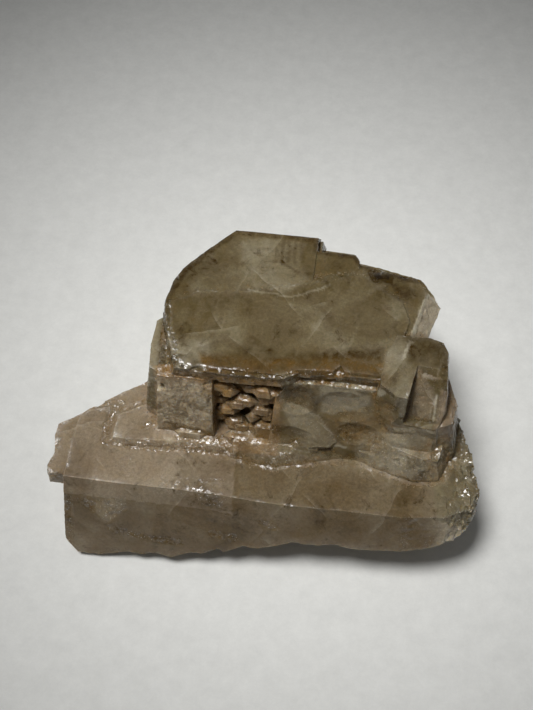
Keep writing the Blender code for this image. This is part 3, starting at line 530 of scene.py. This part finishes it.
def carve(piece, sizes):
    """Moves the vertices of the gridded stone to give it its fine relief, and stores what they are."""
    mesh = piece.data
    normal = vertex_numbers(mesh, "normal")
    at = vertex_numbers(mesh, "co") / MM
    edges = np.empty(len(mesh.edges) * 2, np.int32)
    mesh.edges.foreach_get("vertices", edges)
    edges = edges.reshape(-1, 2)
    count = np.bincount(edges.ravel(), minlength=len(at)).astype(float)
    count[count == 0.0] = 1.0

    # How far a point stands out of its surroundings: positive on edges, negative in corners.
    close = neighbour_mean(at, edges, count, 3)
    smooth = neighbour_mean(close, edges, count, 4)
    proud = np.einsum("ij,ij->i", at - smooth, normal)
    wide = neighbour_mean(proud, edges, count, 8)

    # A face grew if it lies in one of the directions of the crystal lattice. Others broke.
    match = (normal @ habit_normals().T).max(axis=1)
    grown = neighbour_mean(ramp(match, BROKEN_FACE, GROWN_FACE), edges, count, 3)
    broken = 1.0 - grown
    marks = {kind: paint(kind, at, normal) for kind in KINDS}
    ragged = ramp(at[:, 0] - PLAN_ZERO[0], RAGGED_FROM, RAGGED_TO)
    patchy = ramp(rough(at, COARSE_PATCHES, 15, 2), -0.2, 0.5)
    coarse = np.clip(marks["rough"] + 0.35 * broken * patchy + 0.5 * ragged, 0.0, 1.0)

    # Growth lines run across the crystals, at right angles to X.
    across = at * np.array((1.0, 0.12, 0.12))
    spacing = sizes.line_spacing / MM
    lines = 0.6 * swell(across, (spacing, LONG_LINES, LONG_LINES), 11)
    lines = lines + 0.4 * swell(across, (spacing / 2.6, SHORT_LINES, SHORT_LINES), 12)
    lines = np.sign(lines) * np.abs(lines) ** 0.7
    undulation = rough(at, WAVES, 21, 3)
    relief = grown * (sizes.line_depth / MM * lines + sizes.undulation / MM * undulation)

    # A break runs in ripples and small steps.
    ripple = 1.0 - np.abs(rough(at, RIPPLES, 31, 4))
    hackle = rough(at, HACKLE, 41, 3)
    wobble = np.stack([swell(at, WOBBLE, 50 + axis) for axis in range(3)], axis=1)
    step, _ = facets(at + 0.5 * wobble, STEPS, 61)
    deep_break = broken * (1.0 - paint("calm", at, normal)) * sizes.break_depth / MM
    relief += deep_break * (0.7 * (ripple - 0.7) + 0.3 * hackle + 1.3 * step)

    # Small crystal facets and splinters where the stone is rough, each tilted its own way.
    tilt, name = facets(at + 0.25 * wobble, SPLINTERS, 161)
    splinter = tilt + 0.35 * (name[:, 1] - 0.5)
    relief += coarse * sizes.facet_height / MM * splinter * 2.0
    tilt, name = facets(at + 0.6 * wobble, NOTCHES, 261)
    relief -= ragged * sizes.ragged_depth / MM * (name[:, 0] + 0.8 * tilt)

    # Pits: small hollows with sharp rims that gather in patches, and single ones elsewhere.
    group = ramp(rough(at, PIT_GROUPS, 71, 3), -0.1, 0.45)
    depth, _, name = cells(at, PITS, 81)
    pit = ramp(0.40 - depth, 0.0, 0.14) * ramp(name[:, 0], 0.45, 0.6)
    pitted = np.clip(0.35 * group * broken + marks["rough"], 0.0, 1.0)
    relief -= sizes.pit_depth / MM * pit * pitted

    # Edges are chipped here and there, and worn a little everywhere.
    chip = np.clip(proud / CHIPPED_EDGE, 0.0, 1.0) * ramp(rough(at, CHIP_RUNS, 91, 3), 0.15, 0.45)
    relief -= sizes.chip_depth / MM * chip
    moved = at + normal * relief[:, None]
    wear = np.clip(proud / WORN_EDGE, 0.0, 1.0)[:, None] * sizes.wear
    moved = moved * (1.0 - wear) + close * wear
    resting = at[:, 2] < RESTING
    moved[resting] = at[resting]
    low, high = np.array(CAD_BOX) / MM
    moved = np.clip(moved, low + (SLACK, SLACK, 0.0), high - SLACK)
    mesh.vertices.foreach_set("co", (moved * MM).astype(np.float32).ravel())
    mesh.update()

    store(mesh, "broken", np.clip(broken, 0.0, 1.0))
    # The material darkens concave corners by this: dirt and painted shade.
    store(mesh, "corner", np.clip(-wide / DARKENED_CORNER, 0.0, 1.0))
    dull = 0.6 + 0.4 * ramp(rough(at, DULL_RUNS, 95, 3), -0.3, 0.5)
    store(mesh, "edge", np.clip(proud / DULL_EDGE, 0.0, 1.0) * dull)
    store(mesh, "pit", np.clip(pit * pitted, 0.0, 1.0))
    marks["rough"] = coarse
    busy = np.zeros(len(at))
    for kind, cover in marks.items():
        store(mesh, kind, cover)
        busy = np.maximum(busy, np.abs(cover - neighbour_mean(cover, edges, count)))

    # Where a mark begins or ends the mesh stays fine, so that its edge stays sharp.
    plain = piece.vertex_groups.new(name=PLAIN)
    weight = np.round((1.0 - ramp(busy, 0.01, 0.06)) * PLAIN_STEPS).astype(int)
    for step in range(PLAIN_STEPS + 1):
        plain.add(np.flatnonzero(weight == step).tolist(), step / PLAIN_STEPS, "REPLACE")


def thin(piece, faces):
    """Takes away triangles where the surface is flat, until that many are left."""
    select_only(piece)
    triangles = sum(len(polygon.vertices) - 2 for polygon in piece.data.polygons)
    if triangles > faces:
        fewer = piece.modifiers.new("Fewer faces", "DECIMATE")
        fewer.ratio = faces / triangles
        fewer.vertex_group = PLAIN
        fewer.vertex_group_factor = 1.0
        bpy.ops.object.modifier_apply(modifier=fewer.name)
    piece.vertex_groups.clear()
    bpy.ops.object.shade_smooth_by_angle(angle=SMOOTH_ANGLE, keep_sharp_edges=False)


EVEN = (1.0, 1.0, 1.0)

# Clouds of the stone: name, size in millimetres, detail, roughness, warp, and stretch along X, Y and Z.
CLOUDS = (
    ("clouds", 20.0, 5.0, 0.60, 0.8, EVEN),
    ("wisps", 6.0, 6.0, 0.65, 1.6, EVEN),
    ("veins", 8.0, 5.0, 0.60, 1.2, EVEN),
    ("mottle", 2.2, 4.0, 0.70, 0.5, EVEN),
    ("specks", 0.8, 2.0, 0.70, 0.0, EVEN),
    ("dots", 0.55, 1.0, 0.50, 0.0, EVEN),
    ("glints", 0.42, 1.0, 0.40, 0.0, (1.0, 1.1, 0.9)),
    ("grain", 0.9, 4.0, 0.80, 0.3, EVEN),
    ("grit", 1.2, 4.0, 0.62, 0.0, EVEN),
    ("grooves", 1.1, 2.0, 0.50, 0.0, (1.0, 0.1, 0.1)),
)

# Healed cracks: direction, spacing and size of their clouds in millimetres, and shift in spacings. The veil
# of one and its sharp rim reach this many spacings.
VEIL_REACH, RIM_REACH = 0.45, 0.045
SHEETS = (
    ((0.62, 0.70, 0.35), 17.0, 15.0, 0.2),
    ((-0.85, 0.42, 0.31), 23.0, 19.0, 0.6),
    ((0.20, -0.55, 0.81), 14.0, 12.0, 0.35),
)

# Each amount is a sum of products, spread from one range of values to another: name, factors, from, to.
ALL = (0.0, 1.0)
AMOUNTS = (
    # Milk scatters light in clouds, in healed cracks and in small mottles. The milk marks also hold painted
    # highlights and painted light.
    ("pale", (("clouds", 1.0), ("wisps", 0.5)), (0.68, 0.95), (0.0, 0.28)),
    ("pale_mottle", (("mottle", 1.0),), (0.55, 0.75), (0.0, 0.12)),
    ("milky", (("pale", 1.0), ("milk", 1.0), ("sheets", 0.32), ("pale_mottle", 1.0)), ALL, ALL),
    ("milky_haze", (("milky", "haze"),), ALL, ALL),
    # Smoke darkens the stone in wisps and clouds, and along thin brown veins.
    ("dim_wisps", (("wisps", 1.0),), (0.52, 0.70), (0.0, 0.45)),
    ("dim_clouds", (("clouds", 1.0),), (0.36, 0.48), (0.35, 0.0)),
    ("ragged", (("mottle", 1.0),), (0.38, 0.58), (0.55, 1.0)),
    ("vein_start", (("veins", 1.0),), (0.46, 0.50), ALL),
    ("vein_end", (("veins", 1.0),), (0.50, 0.52), (1.0, 0.0)),
    ("vein", (("vein_start", "vein_end"),), ALL, (0.0, 0.4)),
    ("vein_wisps", (("vein", "dim_wisps"),), (0.0, 0.45), ALL),
    ("smoky", (("dim_wisps", 1.0), ("smoke", "ragged"), ("dim_clouds", 1.0), ("vein_wisps", 1.0)), ALL, ALL),
    ("deep_brown", (("deep", "ragged"),), ALL, ALL),
    # Dirt and painted shade darken the corners, and iron stains where it has run.
    ("speckle", (("specks", 1.0),), (0.45, 0.70), (-0.35, 0.45)),
    ("corner_dirt_and_shade", (("corner", 1.0), ("speckle", 1.0)), (0.2, 0.75), ALL),
    ("soot_and_shade", (("corner_dirt_and_shade", 0.35),), ALL, ALL),
    ("stain_wisps", (("wisps", 1.0),), (0.35, 0.60), (0.3, 1.0)),
    ("stain_mottle", (("mottle", 1.0),), (0.35, 0.60), (0.45, 1.0)),
    ("stain", (("stain_wisps", "stain_mottle"),), ALL, ALL),
    ("iron", (("rust", 1.0), ("corner_dirt_and_shade", 0.35)), ALL, ALL),
    ("rusty", (("iron", "stain"),), ALL, ALL),
    ("dot", (("dots", 1.0),), (0.64, 0.70), ALL),
    ("dot_mottle", (("mottle", 1.0),), (0.56, 0.66), (0.0, 0.4)),
    ("dirty", (("rusty", 0.7), ("corner_dirt_and_shade", 0.5), ("rough", 0.12), ("dot_mottle", 1.0)), (0.0, 0.8), (0.0, 0.8)),
    ("dark", (("dot", "dirty"),), ALL, ALL),
    # Splinters and pits get pale specks, painted glints, and edges are dull and a little paler, from wear and
    # a painted highlight.
    ("glint", (("glints", 1.0),), (0.66, 0.72), ALL),
    ("splintered", (("rough", 0.8), ("pit", 0.4), ("broken", 0.2)), ALL, ALL),
    ("light", (("glint", "splintered"),), ALL, (0.0, 0.75)),
    # Edges a little paler: wear and a painted highlight.
    ("pale_edge_wear_and_highlight", (("edge", 0.06),), ALL, ALL),
    # Roughness of the surface.
    ("gloss", (("broken", 0.08), ("corner_dirt_and_shade", 0.15), ("wisps", 0.08), ("edge", 0.12), ("haze", 0.10),
               ("rusty", 0.10)), ALL, (0.05, 1.05)),
    # Height of the surface in metres: growth grooves a millimetre apart, the grain of breaks, splinters.
    ("grit_share", (("broken", 1.0),), ALL, (0.12, 0.7)),
    ("relief", (("grit", "grit_share"), ("grooves", 0.12), ("pit", -0.3)), (-1.0, 1.0),
     (-0.14 * MM, 0.14 * MM)),
    ("facet_share", (("rough", 0.8), ("broken", 0.20)), (0.07, 1.0), (0.0, 0.9)),
    ("facets", (("small_facets", 0.9), ("large_facets", 0.7)), (-1.0, 1.0), (-1.0, 1.0)),
    ("height", (("relief", 1.0), ("facets", "facet_share")), (-1.0, 1.0), (-1.0, 1.0)),
)

# Colours laid over each other: how much of it, and which.
COATS = (
    ("milky", "milk"), ("haze", "haze"), ("milky_haze", "milk"), ("smoky", "smoke"), ("rusty", "rust"),
    ("deep_brown", "deep"), ("pale_edge_wear_and_highlight", "pale_wear_and_highlights"), ("light", "pale_wear_and_highlights"), ("soot_and_shade", "smoke"), ("dark", "dirt"),
)


def smoky_quartz(colours):
    """Smoky to milky quartz, grown and partly broken.

    Light passes through it and turns brown on the way, so thick places are dark and thin edges light. Healed
    cracks inside show as light sheets with one sharp edge, milky clouds scatter the light, grown faces are
    smooth, splinters and pits get painted glints, edges are a little paler from wear and a painted highlight,
    some milky marks are painted light, and iron, dirt and painted shade sit in the corners.
    """
    material, tree = new_material("smoky_milky_quartz")
    place = add(tree, "ShaderNodeTexCoord", gives="Object")
    look = {}
    for name in KINDS + ("pit", "broken", "corner", "edge"):
        look[name] = add(tree, "ShaderNodeAttribute", gives="Fac", attribute_name=name)
    for name, size, detail, roughness, warp, stretch in CLOUDS:
        spot = add(tree, "ShaderNodeMapping", {"Vector": place, "Scale": stretch})
        look[name] = add(tree, "ShaderNodeTexNoise", {
            "Vector": spot, "Scale": 1.0 / (size * MM), "Detail": detail, "Roughness": roughness,
            "Distortion": warp,
        })

    # A sheet is bright along one sharp edge and fades to one side. Clouds break it up.
    waves = add(tree, "ShaderNodeTexNoise", {"Vector": place, "Scale": 1.0 / (12.0 * MM), "Detail": 2.0},
                gives="Color")
    bend = add(tree, "ShaderNodeVectorMath", {0: waves, "Scale": 4.0 * MM}, operation="SCALE")
    bent = add(tree, "ShaderNodeVectorMath", {0: place, 1: bend}, operation="ADD")
    sheets = 0.0
    for direction, spacing, size, shift in SHEETS:
        along = add(tree, "ShaderNodeVectorMath", {0: bent, 1: direction}, gives="Value",
                    operation="DOT_PRODUCT")
        turns = add(tree, "ShaderNodeMath", {0: along, 1: 1.0 / (spacing * MM), 2: shift},
                    operation="MULTIPLY_ADD")
        phase = add(tree, "ShaderNodeMath", {0: turns}, operation="FRACT")
        veil, rim = (
            add(tree, "ShaderNodeMapRange", {"Value": phase, "From Max": reach, "To Min": 0.5, "To Max": 0.0})
            for reach in (VEIL_REACH, RIM_REACH)
        )
        sheet = add(tree, "ShaderNodeMath", {0: veil, 1: rim}, operation="ADD")
        cloud = add(tree, "ShaderNodeTexNoise", {"Vector": place, "Scale": 1.0 / (size * MM), "Detail": 2.0})
        where = add(tree, "ShaderNodeMapRange", {"Value": cloud, "From Min": 0.50, "From Max": 0.58})
        shown = add(tree, "ShaderNodeMath", {0: sheet, 1: where}, operation="MULTIPLY")
        sheets = add(tree, "ShaderNodeMath", {0: sheets, 1: shown}, operation="MAXIMUM")
    look["sheets"] = sheets

    # Splinters are small flat facets, each tilted its own way. Their height is in metres.
    for name, size in (("small_facets", 0.7), ("large_facets", 1.9)):
        tone = add(tree, "ShaderNodeTexVoronoi", {"Vector": place, "Scale": 1.0 / (size * MM)}, gives="Color")
        middle = tone.node.outputs["Position"]
        gap = add(tree, "ShaderNodeVectorMath", {0: place, 1: middle}, operation="SUBTRACT")
        tilt = add(tree, "ShaderNodeVectorMath", {0: tone, 1: (0.5, 0.5, 0.5)}, operation="SUBTRACT")
        look[name] = add(tree, "ShaderNodeVectorMath", {0: gap, 1: tilt}, gives="Value",
                         operation="DOT_PRODUCT")

    amounts = AMOUNTS + (
        ("clear", (("milky", 0.35), ("haze", 0.30), ("rusty", 0.25), ("light", 0.5), ("dark", 0.6),
                   ("corner_dirt_and_shade", 0.15), ("smoky", 0.15), ("deep_brown", 0.6)),
         (0.0, colours.clear), (colours.clear, 0.0)),
    )
    for name, products, (low, high), (to_low, to_high) in amounts:
        whole = 0.0
        for first, second in products:
            factors = {0: look.get(first, first), 1: look.get(second, second), 2: whole}
            whole = add(tree, "ShaderNodeMath", factors, operation="MULTIPLY_ADD")
        look[name] = add(tree, "ShaderNodeMapRange", {
            "Value": whole, "From Min": low, "From Max": high, "To Min": to_low, "To Max": to_high,
        })

    colour = linear(colours.body)
    for share, coat in COATS:
        colour = add(tree, "ShaderNodeMix", {
            "Factor": look[share], "A": colour, "B": linear(getattr(colours, coat)),
        }, gives="Result", data_type="RGBA")
    # The grain of the stone, lighter and darker from half a millimetre up.
    grain = add(tree, "ShaderNodeMapRange", {
        "Value": look["grain"], "From Min": 0.3, "From Max": 0.7, "To Min": 0.78, "To Max": 1.22,
    })
    colour = add(tree, "ShaderNodeMix", {"Factor": 1.0, "A": colour, "B": grain}, gives="Result",
                 data_type="RGBA", blend_type="MULTIPLY")

    bumps = add(tree, "ShaderNodeBump", {"Strength": 1.0, "Distance": 1.0, "Height": look["height"]})
    body = add(tree, "ShaderNodeBsdfPrincipled", {
        "Base Color": colour, "Roughness": look["gloss"], "IOR": 1.544, "Transmission Weight": look["clear"],
        "Normal": bumps, "Subsurface Weight": 1.0, "Subsurface Scale": colours.glow,
        "Subsurface Radius": (1.0, 0.75, 0.45),
    })
    tint = add(tree, "ShaderNodeVolumeAbsorption", {
        "Color": linear(colours.depth), "Density": colours.depth_strength,
    })
    add(tree, "ShaderNodeOutputMaterial", {"Surface": body, "Volume": tint})
    return material


# ----------------------------------------
# The add-on's settings
# ----------------------------------------

class QuartzSizes(bpy.types.PropertyGroup):
    """Sizes of the stone's fine relief."""

    cell: bpy.props.FloatProperty(
        name="Grid", description="Width of one cell of the fine grid", default=0.5 * MM, unit="LENGTH")
    most_faces: bpy.props.IntProperty(
        name="Most triangles", description="Triangles that the finished stone may have", default=190000)
    line_spacing: bpy.props.FloatProperty(
        name="Growth line spacing", description="Distance between growth lines on crystal faces",
        default=2.6 * MM, unit="LENGTH")
    line_depth: bpy.props.FloatProperty(
        name="Growth line depth", description="Height of the growth lines", default=0.02 * MM, unit="LENGTH")
    undulation: bpy.props.FloatProperty(
        name="Face waviness", description="How far a crystal face swings from flat",
        default=0.09 * MM, unit="LENGTH")
    break_depth: bpy.props.FloatProperty(
        name="Break depth", description="Height of the ripples and steps on broken faces",
        default=0.32 * MM, unit="LENGTH")
    facet_height: bpy.props.FloatProperty(
        name="Facet height", description="Height of the small facets where the stone is rough",
        default=0.16 * MM, unit="LENGTH")
    ragged_depth: bpy.props.FloatProperty(
        name="Ragged depth", description="Depth of the notches at the slab's broken right end",
        default=1.1 * MM, unit="LENGTH")
    pit_depth: bpy.props.FloatProperty(
        name="Pit depth", description="Depth of the small pits", default=0.13 * MM, unit="LENGTH")
    chip_depth: bpy.props.FloatProperty(
        name="Chip depth", description="Depth of the chips along edges", default=0.08 * MM, unit="LENGTH")
    wear: bpy.props.FloatProperty(
        name="Edge wear", description="How far sharp edges are worn down", default=0.04, subtype="FACTOR")


class QuartzColours(bpy.types.PropertyGroup):
    """Colours of the stone, and how far one sees into it."""

    body: bpy.props.StringProperty(name="Body", description="Colour of the plain stone", default="#85744C")
    # Milky veils; the same colour paints light and highlights on some faces and edges.
    milk: bpy.props.StringProperty(name="Milky", description="Colour of the milky veils", default="#BDB6A0")
    smoke: bpy.props.StringProperty(name="Smoky", description="Colour of the smoky zones", default="#46340E")
    haze: bpy.props.StringProperty(
        name="Haze", description="Colour of dull faces that let little light in", default="#8E7058")
    deep: bpy.props.StringProperty(name="Deep", description="Colour of the darkest zones", default="#241804")
    rust: bpy.props.StringProperty(name="Iron", description="Colour of the iron stain", default="#A8803E")
    # Worn edges; the same pale colour is painted as glints and as a highlight on edges.
    pale_wear_and_highlights: bpy.props.StringProperty(name="Worn edge", description="Colour of worn edges", default="#D2CFC4")
    dirt: bpy.props.StringProperty(name="Dirt", description="Colour of the black specks", default="#1E1A14")
    depth: bpy.props.StringProperty(
        name="Depth", description="Colour that light turns on its way through the stone", default="#D8B070")
    depth_strength: bpy.props.FloatProperty(
        name="Depth strength", description="How fast light turns, per metre", default=28.0)
    clear: bpy.props.FloatProperty(
        name="Clearness", description="Share of the light that passes the surface", default=0.50,
        subtype="FACTOR")
    glow: bpy.props.FloatProperty(
        name="Glow depth", description="How far light spreads inside the milky stone", default=0.8 * MM,
        unit="LENGTH")


class StageSettings(bpy.types.PropertyGroup):
    """The floor, the light and the camera."""

    floor_colour: bpy.props.StringProperty(name="Floor", description="Colour of the paper", default="#E2E2DE")
    floor_size: bpy.props.FloatProperty(
        name="Floor size", description="Side of the paper", default=3.0, unit="LENGTH")
    key_power: bpy.props.FloatProperty(name="Light", description="Power of the soft light", default=29.0)
    key_size: bpy.props.FloatProperty(
        name="Light size", description="Width of the soft light", default=0.30, unit="LENGTH")
    key_spread: bpy.props.FloatProperty(
        name="Light spread", description="Angle that the soft light fills", default=math.radians(30.0),
        subtype="ANGLE")
    fill: bpy.props.FloatProperty(name="Fill", description="Brightness of the room", default=0.12)
    fill_colour: bpy.props.StringProperty(name="Room", description="Colour of the room", default="#FAFBFC")
    camera_distance: bpy.props.FloatProperty(
        name="Camera distance", description="From the camera to the stone's middle",
        default=0.322, unit="LENGTH")
    camera_height: bpy.props.FloatProperty(
        name="Camera height", description="Angle above the table", default=math.radians(62.0),
        subtype="ANGLE")
    camera_turn: bpy.props.FloatProperty(
        name="Camera turn", description="Angle to the right of the front", default=math.radians(7.4),
        subtype="ANGLE")


# ----------------------------------------
# The add-on's operators
# ----------------------------------------

class OBJECT_OT_quartz_crystals(bpy.types.Operator):
    """Carves the fine surface of the crystal cluster and gives it its quartz"""

    bl_idname = "object.quartz_crystals"
    bl_label = "Quartz crystals"

    def execute(self, context):
        sizes = context.scene.quartz_sizes
        piece = gridded_copy("quartz_crystals", sizes.cell)
        carve(piece, sizes)
        thin(piece, sizes.most_faces)
        piece.data.materials.clear()
        piece.data.materials.append(smoky_quartz(context.scene.quartz_colours))
        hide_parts(NODE)
        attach(piece, "root")
        if not piece.data.polygons:
            raise RuntimeError("the crystals have no faces")
        return {"FINISHED"}


def paper(colour):
    """Thick white paper: matt, with a faint cloudiness of its fibres from one to six millimetres wide."""
    material, tree = new_material("white_paper")
    place = add(tree, "ShaderNodeTexCoord", gives="Object")
    cloud = add(tree, "ShaderNodeTexNoise", {
        "Vector": place, "Scale": 1.0 / (6.0 * MM), "Detail": 5.0, "Roughness": 0.85,
    })
    shade = add(tree, "ShaderNodeMapRange", {
        "Value": cloud, "From Min": 0.3, "From Max": 0.7, "To Min": 0.88, "To Max": 1.0,
    })
    tone = add(tree, "ShaderNodeMix", {"Factor": 1.0, "A": linear(colour), "B": shade}, gives="Result",
               data_type="RGBA", blend_type="MULTIPLY")
    dents = add(tree, "ShaderNodeBump", {"Strength": 0.3, "Distance": 0.2 * MM, "Height": cloud})
    sheet = add(tree, "ShaderNodeBsdfPrincipled", {"Base Color": tone, "Roughness": 0.9, "Normal": dents})
    add(tree, "ShaderNodeOutputMaterial", {"Surface": sheet})
    return material


# Where the soft light hangs and looks, in metres from the plan's zero, and how far the paper lies under the
# stone's flat base, so that the two faces don't fight.
LIGHT_PLACE = Vector((-0.18, -0.02, 0.65))
LIGHT_AIM = Vector((0.015, -0.015, 0.0))
PAPER_GAP = 0.0002
# The camera's picture height and lens, in millimetres.
PICTURE_HEIGHT = 24.0
LENS = 33.80


def soft_light(name, position, target, settings):
    """A round soft light that looks at a point and leaves a pool of light with a soft edge."""
    data = bpy.data.lights.new(name, "SPOT")
    data.energy = settings.key_power
    data.shadow_soft_size = settings.key_size / 2.0
    data.spot_size = settings.key_spread
    data.spot_blend = 1.0
    lamp = bpy.data.objects.new(name, data)
    lamp.location = position
    lamp.rotation_euler = (target - position).to_track_quat("-Z", "Y").to_euler()
    bpy.context.scene.collection.objects.link(lamp)


class OBJECT_OT_quartz_stage(bpy.types.Operator):
    """Lays the paper floor, sets the soft light and places the camera"""

    bl_idname = "object.quartz_stage"
    bl_label = "Stage"

    def execute(self, context):
        settings = context.scene.quartz_stage
        bpy.ops.object.select_all(action="DESELECT")
        bpy.ops.mesh.primitive_plane_add(size=settings.floor_size, location=(0.0, 0.0, -PAPER_GAP))
        floor = context.active_object
        floor.name = "paper_floor"
        floor.data.materials.append(paper(settings.floor_colour))

        middle = Vector((float(PLAN_ZERO[0]) * MM, float(PLAN_ZERO[1]) * MM, 0.0))
        soft_light("soft_light", middle + LIGHT_PLACE, middle + LIGHT_AIM, settings)
        world = bpy.data.worlds.new("room")
        world.use_nodes = True
        air = world.node_tree.nodes["Background"]
        air.inputs["Color"].default_value = linear(settings.fill_colour)
        air.inputs["Strength"].default_value = settings.fill
        context.scene.world = world
        context.scene.view_settings.view_transform = "Standard"

        turn, height = settings.camera_turn, settings.camera_height
        level = math.cos(height)
        back = Vector((math.sin(turn) * level, -math.cos(turn) * level, math.sin(height)))
        right = Vector((math.cos(turn), math.sin(turn), 0.0))
        up = back.cross(right)
        data = bpy.data.cameras.new("camera")
        data.sensor_fit = "VERTICAL"
        data.sensor_height = PICTURE_HEIGHT
        data.lens = LENS
        data.clip_start = 0.001
        camera = bpy.data.objects.new("camera", data)
        camera.matrix_world = Matrix((
            (right.x, up.x, back.x, 0.0), (right.y, up.y, back.y, 0.0), (right.z, up.z, back.z, 0.0),
            (0.0, 0.0, 0.0, 1.0),
        ))
        camera.location = middle + back * settings.camera_distance
        context.scene.collection.objects.link(camera)
        context.scene.camera = camera
        return {"FINISHED"}


class VIEW3D_PT_quartz(bpy.types.Panel):
    """Lists the steps that make the quartz"""

    bl_label = "Cathedral quartz"
    bl_idname = "VIEW3D_PT_quartz"
    bl_space_type = "VIEW_3D"
    bl_region_type = "UI"
    bl_category = "Quartz"

    def draw(self, context):
        column = self.layout.column(align=True)
        column.operator(OBJECT_OT_quartz_crystals.bl_idname)
        column.operator(OBJECT_OT_quartz_stage.bl_idname)
        for group in (context.scene.quartz_sizes, context.scene.quartz_colours, context.scene.quartz_stage):
            for name in group.__annotations__:
                column.prop(group, name)


CLASSES = (
    QuartzSizes, QuartzColours, StageSettings, OBJECT_OT_quartz_crystals, OBJECT_OT_quartz_stage,
    VIEW3D_PT_quartz,
)


def register():
    """Registers the classes and hangs the settings on the scene."""
    for one in CLASSES:
        bpy.utils.register_class(one)
    bpy.types.Scene.quartz_sizes = bpy.props.PointerProperty(type=QuartzSizes)
    bpy.types.Scene.quartz_colours = bpy.props.PointerProperty(type=QuartzColours)
    bpy.types.Scene.quartz_stage = bpy.props.PointerProperty(type=StageSettings)


def unregister():
    """Takes away what register added."""
    del bpy.types.Scene.quartz_stage
    del bpy.types.Scene.quartz_colours
    del bpy.types.Scene.quartz_sizes
    for one in reversed(CLASSES):
        bpy.utils.unregister_class(one)


def main():
    """Makes the stone and its stage."""
    register()
    bpy.ops.object.quartz_crystals()
    bpy.ops.object.quartz_stage()


if __name__ == "__main__":
    main()
